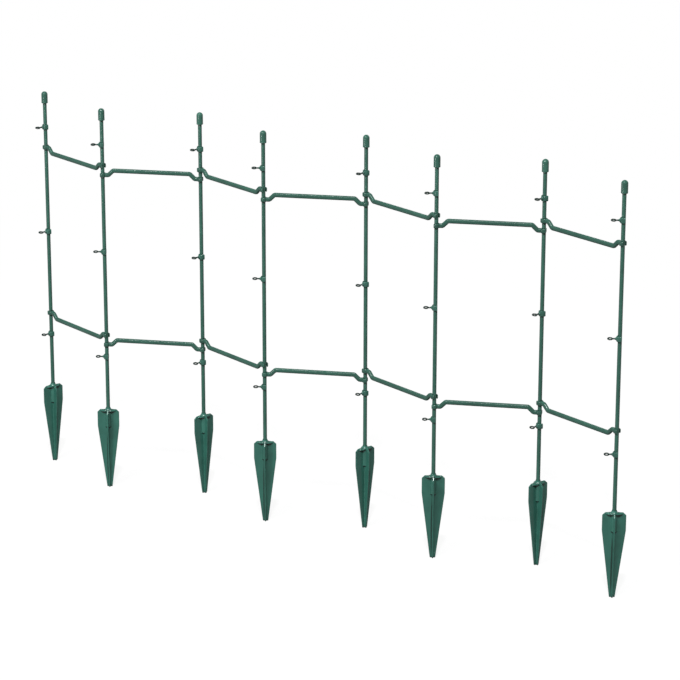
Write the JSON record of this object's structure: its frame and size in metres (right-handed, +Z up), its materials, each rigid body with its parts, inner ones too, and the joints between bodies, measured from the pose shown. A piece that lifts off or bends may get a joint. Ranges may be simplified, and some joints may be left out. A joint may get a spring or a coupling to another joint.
{
  "type": "plant support",
  "caption": "Zig-zag screen of upright green stakes with finned ground spikes, domed caps, cranked clip-on connecting bars and small sliding tie clips.",
  "frame": {"origin": "centre of the bounding box at the level of the blunt spike tips", "axes": "+X along the screen from the left stake to the right stake, +Y towards the back row of stakes, +Z up"},
  "size_m": [1.3845, 0.105, 0.82],
  "materials": {
    "coated_tube": "satin green plastic coating over steel tube",
    "spike_plastic": "satin moulded green plastic",
    "bar_plastic": "satin moulded green plastic",
    "clip_plastic": "satin moulded green plastic"
  },
  "bodies": {
    "stake_1": {"tube_1": "coated_tube", "spike_1": "spike_plastic"},
    "clip_1_low": {"clip_1_low": "clip_plastic"},
    "clip_1_mid": {"clip_1_mid": "clip_plastic"},
    "clip_1_top": {"clip_1_top": "clip_plastic"},
    "stake_2": {"tube_2": "coated_tube", "spike_2": "spike_plastic"},
    "clip_2_low": {"clip_2_low": "clip_plastic"},
    "clip_2_mid": {"clip_2_mid": "clip_plastic"},
    "clip_2_top": {"clip_2_top": "clip_plastic"},
    "stake_3": {"tube_3": "coated_tube", "spike_3": "spike_plastic"},
    "clip_3_low": {"clip_3_low": "clip_plastic"},
    "clip_3_mid": {"clip_3_mid": "clip_plastic"},
    "clip_3_top": {"clip_3_top": "clip_plastic"},
    "stake_4": {"tube_4": "coated_tube", "spike_4": "spike_plastic"},
    "clip_4_low": {"clip_4_low": "clip_plastic"},
    "clip_4_mid": {"clip_4_mid": "clip_plastic"},
    "clip_4_top": {"clip_4_top": "clip_plastic"},
    "stake_5": {"tube_5": "coated_tube", "spike_5": "spike_plastic"},
    "clip_5_low": {"clip_5_low": "clip_plastic"},
    "clip_5_mid": {"clip_5_mid": "clip_plastic"},
    "clip_5_top": {"clip_5_top": "clip_plastic"},
    "stake_6": {"tube_6": "coated_tube", "spike_6": "spike_plastic"},
    "clip_6_low": {"clip_6_low": "clip_plastic"},
    "clip_6_mid": {"clip_6_mid": "clip_plastic"},
    "clip_6_top": {"clip_6_top": "clip_plastic"},
    "stake_7": {"tube_7": "coated_tube", "spike_7": "spike_plastic"},
    "clip_7_low": {"clip_7_low": "clip_plastic"},
    "clip_7_mid": {"clip_7_mid": "clip_plastic"},
    "clip_7_top": {"clip_7_top": "clip_plastic"},
    "stake_8": {"tube_8": "coated_tube", "spike_8": "spike_plastic"},
    "clip_8_low": {"clip_8_low": "clip_plastic"},
    "clip_8_mid": {"clip_8_mid": "clip_plastic"},
    "clip_8_top": {"clip_8_top": "clip_plastic"},
    "bar_1_low": {"bar_1_low": "bar_plastic"},
    "bar_1_top": {"bar_1_top": "bar_plastic"},
    "bar_2_low": {"bar_2_low": "bar_plastic"},
    "bar_2_top": {"bar_2_top": "bar_plastic"},
    "bar_3_low": {"bar_3_low": "bar_plastic"},
    "bar_3_top": {"bar_3_top": "bar_plastic"},
    "bar_4_low": {"bar_4_low": "bar_plastic"},
    "bar_4_top": {"bar_4_top": "bar_plastic"},
    "bar_5_low": {"bar_5_low": "bar_plastic"},
    "bar_5_top": {"bar_5_top": "bar_plastic"},
    "bar_6_low": {"bar_6_low": "bar_plastic"},
    "bar_6_top": {"bar_6_top": "bar_plastic"},
    "bar_7_low": {"bar_7_low": "bar_plastic"},
    "bar_7_top": {"bar_7_top": "bar_plastic"}
  },
  "joints": [
    {"name": "bar_1_swing", "type": "hinge", "parent": "stake_1", "child": "bar_1_low", "pos_m": [-0.67489, 0.03509, 0.3255], "axis": [0, 0, -1], "range_deg": [-20, 55]},
    {"name": "stake_2_turn", "type": "hinge", "parent": "bar_1_low", "child": "stake_2", "pos_m": [-0.48206, -0.03509, 0.3255], "axis": [0, 0, 1], "range_deg": [-20, 55]},
    {"name": "bar_2_swing", "type": "hinge", "parent": "stake_2", "child": "bar_2_low", "pos_m": [-0.48206, -0.03509, 0.3255], "axis": [0, 0, 1], "range_deg": [-20, 55]},
    {"name": "stake_3_turn", "type": "hinge", "parent": "bar_2_low", "child": "stake_3", "pos_m": [-0.28924, 0.03509, 0.3255], "axis": [0, 0, -1], "range_deg": [-20, 55]},
    {"name": "bar_3_swing", "type": "hinge", "parent": "stake_3", "child": "bar_3_low", "pos_m": [-0.28924, 0.03509, 0.3255], "axis": [0, 0, -1], "range_deg": [-20, 55]},
    {"name": "stake_4_turn", "type": "hinge", "parent": "bar_3_low", "child": "stake_4", "pos_m": [-0.09641, -0.03509, 0.3255], "axis": [0, 0, 1], "range_deg": [-20, 55]},
    {"name": "bar_4_swing", "type": "hinge", "parent": "stake_4", "child": "bar_4_low", "pos_m": [-0.09641, -0.03509, 0.3255], "axis": [0, 0, 1], "range_deg": [-20, 55]},
    {"name": "stake_5_turn", "type": "hinge", "parent": "bar_4_low", "child": "stake_5", "pos_m": [0.09641, 0.03509, 0.3255], "axis": [0, 0, -1], "range_deg": [-20, 55]},
    {"name": "bar_5_swing", "type": "hinge", "parent": "stake_5", "child": "bar_5_low", "pos_m": [0.09641, 0.03509, 0.3255], "axis": [0, 0, -1], "range_deg": [-20, 55]},
    {"name": "stake_6_turn", "type": "hinge", "parent": "bar_5_low", "child": "stake_6", "pos_m": [0.28924, -0.03509, 0.3255], "axis": [0, 0, 1], "range_deg": [-20, 55]},
    {"name": "bar_6_swing", "type": "hinge", "parent": "stake_6", "child": "bar_6_low", "pos_m": [0.28924, -0.03509, 0.3255], "axis": [0, 0, 1], "range_deg": [-20, 55]},
    {"name": "stake_7_turn", "type": "hinge", "parent": "bar_6_low", "child": "stake_7", "pos_m": [0.48206, 0.03509, 0.3255], "axis": [0, 0, -1], "range_deg": [-20, 55]},
    {"name": "bar_7_swing", "type": "hinge", "parent": "stake_7", "child": "bar_7_low", "pos_m": [0.48206, 0.03509, 0.3255], "axis": [0, 0, -1], "range_deg": [-20, 55]},
    {"name": "stake_8_turn", "type": "hinge", "parent": "bar_7_low", "child": "stake_8", "pos_m": [0.67489, -0.03509, 0.3255], "axis": [0, 0, 1], "range_deg": [-20, 55]},
    {"name": "bar_1_top_slide", "type": "slide", "parent": "bar_1_low", "child": "bar_1_top", "axis": [0, 0, 1], "range_m": [-0.01, 0.03]},
    {"name": "bar_2_top_slide", "type": "slide", "parent": "bar_2_low", "child": "bar_2_top", "axis": [0, 0, 1], "range_m": [-0.145, 0.01]},
    {"name": "bar_3_top_slide", "type": "slide", "parent": "bar_3_low", "child": "bar_3_top", "axis": [0, 0, 1], "range_m": [-0.01, 0.03]},
    {"name": "bar_4_top_slide", "type": "slide", "parent": "bar_4_low", "child": "bar_4_top", "axis": [0, 0, 1], "range_m": [-0.145, 0.01]},
    {"name": "bar_5_top_slide", "type": "slide", "parent": "bar_5_low", "child": "bar_5_top", "axis": [0, 0, 1], "range_m": [-0.01, 0.03]},
    {"name": "bar_6_top_slide", "type": "slide", "parent": "bar_6_low", "child": "bar_6_top", "axis": [0, 0, 1], "range_m": [-0.145, 0.01]},
    {"name": "bar_7_top_slide", "type": "slide", "parent": "bar_7_low", "child": "bar_7_top", "axis": [0, 0, 1], "range_m": [-0.01, 0.03]},
    {"name": "clip_1_low_slide", "type": "slide", "parent": "stake_1", "child": "clip_1_low", "axis": [0, 0, 1], "range_m": [-0.098, 0.015]},
    {"name": "clip_1_mid_slide", "type": "slide", "parent": "stake_1", "child": "clip_1_mid", "axis": [0, 0, 1], "range_m": [-0.165, 0.15]},
    {"name": "clip_1_top_slide", "type": "slide", "parent": "stake_1", "child": "clip_1_top", "axis": [0, 0, 1], "range_m": [-0.03, 0.044]},
    {"name": "clip_2_low_slide", "type": "slide", "parent": "stake_2", "child": "clip_2_low", "axis": [0, 0, 1], "range_m": [-0.098, 0.015]},
    {"name": "clip_2_mid_slide", "type": "slide", "parent": "stake_2", "child": "clip_2_mid", "axis": [0, 0, 1], "range_m": [-0.165, 0.15]},
    {"name": "clip_2_top_slide", "type": "slide", "parent": "stake_2", "child": "clip_2_top", "axis": [0, 0, 1], "range_m": [-0.03, 0.044]},
    {"name": "clip_3_low_slide", "type": "slide", "parent": "stake_3", "child": "clip_3_low", "axis": [0, 0, 1], "range_m": [-0.098, 0.015]},
    {"name": "clip_3_mid_slide", "type": "slide", "parent": "stake_3", "child": "clip_3_mid", "axis": [0, 0, 1], "range_m": [-0.165, 0.15]},
    {"name": "clip_3_top_slide", "type": "slide", "parent": "stake_3", "child": "clip_3_top", "axis": [0, 0, 1], "range_m": [-0.03, 0.044]},
    {"name": "clip_4_low_slide", "type": "slide", "parent": "stake_4", "child": "clip_4_low", "axis": [0, 0, 1], "range_m": [-0.098, 0.015]},
    {"name": "clip_4_mid_slide", "type": "slide", "parent": "stake_4", "child": "clip_4_mid", "axis": [0, 0, 1], "range_m": [-0.165, 0.15]},
    {"name": "clip_4_top_slide", "type": "slide", "parent": "stake_4", "child": "clip_4_top", "axis": [0, 0, 1], "range_m": [-0.03, 0.044]},
    {"name": "clip_5_low_slide", "type": "slide", "parent": "stake_5", "child": "clip_5_low", "axis": [0, 0, 1], "range_m": [-0.098, 0.015]},
    {"name": "clip_5_mid_slide", "type": "slide", "parent": "stake_5", "child": "clip_5_mid", "axis": [0, 0, 1], "range_m": [-0.165, 0.15]},
    {"name": "clip_5_top_slide", "type": "slide", "parent": "stake_5", "child": "clip_5_top", "axis": [0, 0, 1], "range_m": [-0.03, 0.044]},
    {"name": "clip_6_low_slide", "type": "slide", "parent": "stake_6", "child": "clip_6_low", "axis": [0, 0, 1], "range_m": [-0.098, 0.015]},
    {"name": "clip_6_mid_slide", "type": "slide", "parent": "stake_6", "child": "clip_6_mid", "axis": [0, 0, 1], "range_m": [-0.165, 0.15]},
    {"name": "clip_6_top_slide", "type": "slide", "parent": "stake_6", "child": "clip_6_top", "axis": [0, 0, 1], "range_m": [-0.03, 0.044]},
    {"name": "clip_7_low_slide", "type": "slide", "parent": "stake_7", "child": "clip_7_low", "axis": [0, 0, 1], "range_m": [-0.098, 0.015]},
    {"name": "clip_7_mid_slide", "type": "slide", "parent": "stake_7", "child": "clip_7_mid", "axis": [0, 0, 1], "range_m": [-0.165, 0.15]},
    {"name": "clip_7_top_slide", "type": "slide", "parent": "stake_7", "child": "clip_7_top", "axis": [0, 0, 1], "range_m": [-0.03, 0.044]},
    {"name": "clip_8_low_slide", "type": "slide", "parent": "stake_8", "child": "clip_8_low", "axis": [0, 0, 1], "range_m": [-0.098, 0.015]},
    {"name": "clip_8_mid_slide", "type": "slide", "parent": "stake_8", "child": "clip_8_mid", "axis": [0, 0, 1], "range_m": [-0.165, 0.15]},
    {"name": "clip_8_top_slide", "type": "slide", "parent": "stake_8", "child": "clip_8_top", "axis": [0, 0, 1], "range_m": [-0.03, 0.044]}
  ]
}
